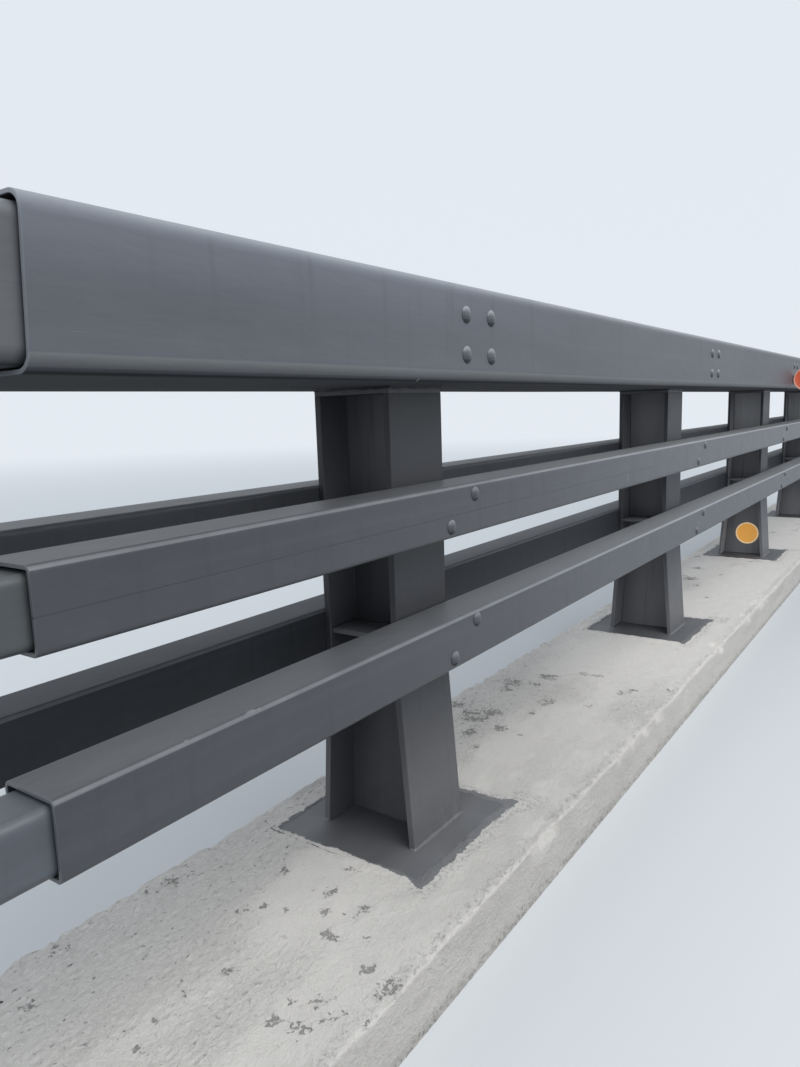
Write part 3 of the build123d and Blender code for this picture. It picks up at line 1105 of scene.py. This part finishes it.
def plinthSkin():
    # a battered section with round top edges carried along x, then moved by noise: undulation and trowel
    # lumps on the deck, chips along the front edge, a ragged rear edge and uneven side faces; the deck dips
    # out of the way under each base plate
    low, high = (np.array(end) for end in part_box("plinth"))
    batter, arris = plinth["batter"], plinth["arris"]
    front, rear = low[1] + batter, high[1] - batter
    rise = np.linspace(0, 1, 9)[:-1]
    turn = np.linspace(math.pi, math.pi / 2, 6)
    innerLightShare = np.concatenate([batter * rise, batter + arris + arris * np.cos(turn)])
    level = np.concatenate([rise * (high[2] - arris), high[2] - arris + arris * np.sin(turn)])
    frontSide = np.column_stack([low[1] + innerLightShare, level])
    rearSide = np.column_stack([high[1] - innerLightShare, level])[::-1]
    count = int((rear - front - 2 * arris) / plinth["across"])
    deckY = np.linspace(front + arris, rear - arris, count)[1:-1]
    deckY = withEdges(deckY, [-plateHalf[1], plateHalf[1]])
    deck = np.column_stack([deckY, np.full(len(deckY), high[2])])
    section = np.vstack([frontSide, deck, rearSide])
    x = np.linspace(low[0], high[0], int((high[0] - low[0]) / plinth["station"]))
    x = withEdges(x, [place + hand * plateHalf[0] for place in postPlaces for hand in (-1, 1)])[:, None]
    y, z = (np.broadcast_to(section[:, k], (len(x), len(section))).copy() for k in (0, 1))
    onTop = smoothStep(high[2] - 0.012, high[2] - 0.001, z)
    worn = wornField(np.broadcast_to(x, y.shape), y) * onTop
    height = smoothStep(0.0, 0.03, z)
    nearRear = smoothStep(0.08, rear - 0.02, y) * height
    nearFront = smoothStep(front + 0.05, front + 0.012, y) * height

    beside = fromPlates(x, y)
    free = smoothStep(0.005, 0.06, beside) * onTop
    z += relief(free, "undulation", x, y, 3)
    z += relief(free, "lumps", x, y, 7, 2)
    z += relief(free * nearRear, "rearLumps", x, y, 11, 3)
    z -= onTop * worn * plinth["wornDepth"]
    z -= np.where(beside < 0, plinth["underPlate"], 0) * (z > high[2] - 0.02)
    chips = np.maximum(0, roughNoise(x * plinth["chipPitch"], 0.5, 17, 5) - 0.4) * plinth["chip"]
    chips = chips + np.maximum(0, worn - 0.2) * plinth["wornChip"]
    edgeShare = smoothStep(high[2] - 0.03, high[2] - 0.004, z) * nearFront
    y += edgeShare * chips
    z -= edgeShare * chips * 0.8
    rearShare = smoothStep(high[2] - 0.07, high[2], z) * smoothStep(rear - 0.09, rear, y)
    coarse, fine = plinth["raggedPitches"]
    ragged = 0.5 * roughNoise(x * coarse, 1.5, 23, 2) + 0.6 * roughNoise(x * fine, 2.5, 29, 3)
    y += rearShare * (plinth["rearRagged"] * ragged - 0.002)
    z -= rearShare * np.maximum(0, -ragged) * 0.010
    y += relief(height * (1 - onTop), "sideWander", x, z, 31) * np.sign(y)
    return shell(np.stack([np.broadcast_to(x, y.shape), y, z], axis=-1)), worn


crust = {
    "step": 0.0025,
    # how far outside the plate's edge and how far above the deck each rectangle lies
    "away": [-0.010, -0.0075, -0.004, 0.0, 0.004, 0.009, 0.014, 0.020, 0.028, 0.036],
    "rise": [-0.0014, 0.0001, 0.0007, 0.0012, 0.0015, 0.0016, 0.0013, 0.0008, 0.0002, -0.0016],
    # each noise: its height and its lumps in a metre
    "lumps": (0.0010, 60),
    "innerWander": (0.0034, 35),
    "outerWander": (0.0060, 10),
    "swell": (0.5, 22),
}


def mortarCrust(place, seed):
    # a thin closed ring of mortar over the joint round a base plate: rectangles one outside the other, the
    # inmost on the plate, moved in and out and up and down by noise along the ring
    perSide = int(2 * plateHalf[1] / crust["step"])
    run = np.linspace(-1, 1, perSide, endpoint=False)
    one = np.ones(perSide)
    square = np.vstack([
        np.column_stack([run, -one]),
        np.column_stack([one, run]),
        np.column_stack([-run, one]),
        np.column_stack([-one, -run]),
    ])
    at = np.arange(len(square)) * crust["step"]
    away, rise = np.array(crust["away"]), np.array(crust["rise"])

    def alongRing(key, shift, octaves):
        # noise that changes along the ring and is the same on all the rectangles
        height, pitch = crust[key]
        return height * roughNoise(at * pitch, seed, seed + shift, octaves)[:, None]

    inner = alongRing("innerWander", 0, 4) * smoothStep(0, -0.007, away)
    outer = alongRing("outerWander", 9, 5) * smoothStep(0, 0.02, away)
    spread = (away + inner + outer)[..., None]
    flat = square[:, None] * (plateHalf + spread) + (place, 0)
    swell = 1 + alongRing("swell", 3, 4) * (rise > 0)
    height, pitch = crust["lumps"]
    lumps = height * roughNoise(flat[..., 0] * pitch, flat[..., 1] * pitch, 41 + seed, 3)
    lumps *= smoothStep(-0.009, -0.003, away) * smoothStep(0.036, 0.020, away)
    top = np.dstack([flat, deckHeight + rise * swell + lumps])
    under = top[:, [-1, 0]] - (0, 0, 0.004)
    return shell(np.concatenate([top, under], axis=1), closedAlong=True)


skin, worn = plinthSkin()
makePiece("plinth_body", [skin], concrete, ["plinth"], sharpAngle=50, fields={"worn": worn})
for number, (post, place) in enumerate(zip(posts, postPlaces)):
    makePiece(post + "_mortar_crust", [mortarCrust(place, number + 5)], concrete, sharpAngle=50)
print("plinth made")

studio = {
    "sky": (229, 235, 242),
    "skyHigh": (225, 232, 241),
    "floor": (214, 217, 219),
    "floorForLight": (86, 88, 92),
    "skyStrength": 1.0,
    "floorSize": 120.0,
    # the floor fades into the sky between these distances from the middle
    "hazeFrom": 2.5,
    "hazeTo": 26.0,
}


def paleFloor():
    # pale where the camera sees it, dark grey for light that bounces, and fading into the sky far out
    half = studio["floorSize"] / 2
    mesh = bpy.data.meshes.new("studioFloor")
    corners = [(-half, -half, 0), (half, -half, 0), (half, half, 0), (-half, half, 0)]
    mesh.from_pydata(corners, [], [(0, 1, 2, 3)])
    f = Finish(bpy.data.materials.new("studioFloor"))
    ray = f.add("ShaderNodeLightPath", output="Is Camera Ray")
    seen = ray + ray.output("Is Glossy Ray") + ray.output("Is Transmission Ray")
    grey = f.blend(seen, studio["floorForLight"], studio["floor"])
    surface = f.add("ShaderNodeBsdfDiffuse", values={"Color": grey})
    far = f.vector("LENGTH", f.place, output="Value").over(studio["hazeFrom"], studio["hazeTo"])
    haze = f.add("ShaderNodeEmission", values={"Color": tone(*studio["sky"]), "Strength": 1.0})
    mixed = f.add("ShaderNodeMixShader", values={0: far * seen, 1: surface, 2: haze})
    mesh.materials.append(f.finishWith(mixed))
    floor = bpy.data.objects.new("studioFloor", mesh)
    bpy.context.scene.collection.objects.link(floor)


def overcastSky():
    # an even sky, a little bluer overhead
    sky = Finish(bpy.data.worlds.new("overcast"), "Generated")
    values = {"Color": sky.blend(sky.z, studio["sky"], studio["skyHigh"]), "Strength": studio["skyStrength"]}
    background = sky.add("ShaderNodeBackground", values=values)
    bpy.context.scene.world = sky.finishWith(background, "ShaderNodeOutputWorld")


def softLamp(name, place, target, size, power, colour):
    # a round area lamp that faces its target
    data = bpy.data.lights.new(name, "AREA")
    data.shape, data.size, data.energy, data.color = "DISK", size, power, colour
    lamp = bpy.data.objects.new(name, data)
    turn = (Vector(target) - Vector(place)).to_track_quat("-Z", "Y")
    lamp.matrix_world = Matrix.Translation(place) @ turn.to_matrix().to_4x4()
    bpy.context.scene.collection.objects.link(lamp)


paleFloor()
overcastSky()
softLamp(
    "overheadLamp",
    place=(-3.5, -4.0, 6.0),
    target=(-1.0, 0.0, 0.6),
    size=5.0,
    power=260,
    colour=(1.0, 0.98, 0.95),
)

# The camera's place in metres, its turn from the Y axis, downward tilt and roll in degrees, and lens in mm
view = {
    "place": (-4.48214, -1.09505, 1.12248),
    "yaw": 54.7670,
    "pitch": 8.9112,
    "roll": 1.8542,
    "lens": 26.5403,
}
cameraData = bpy.data.cameras.new("camera")
cameraData.sensor_fit, cameraData.sensor_width, cameraData.lens = "AUTO", 36.0, view["lens"]
cameraData.clip_end = 500.0
camera = bpy.data.objects.new("camera", cameraData)
camera.matrix_world = (
    Matrix.Translation(view["place"])
    @ Matrix.Rotation(math.radians(-view["yaw"]), 4, "Z")
    @ Matrix.Rotation(math.radians(90 - view["pitch"]), 4, "X")
    @ Matrix.Rotation(math.radians(-view["roll"]), 4, "Z")
)
bpy.context.scene.collection.objects.link(camera)
bpy.context.scene.camera = camera
bpy.context.scene.view_settings.view_transform = "Standard"
print("stage, light and camera set")
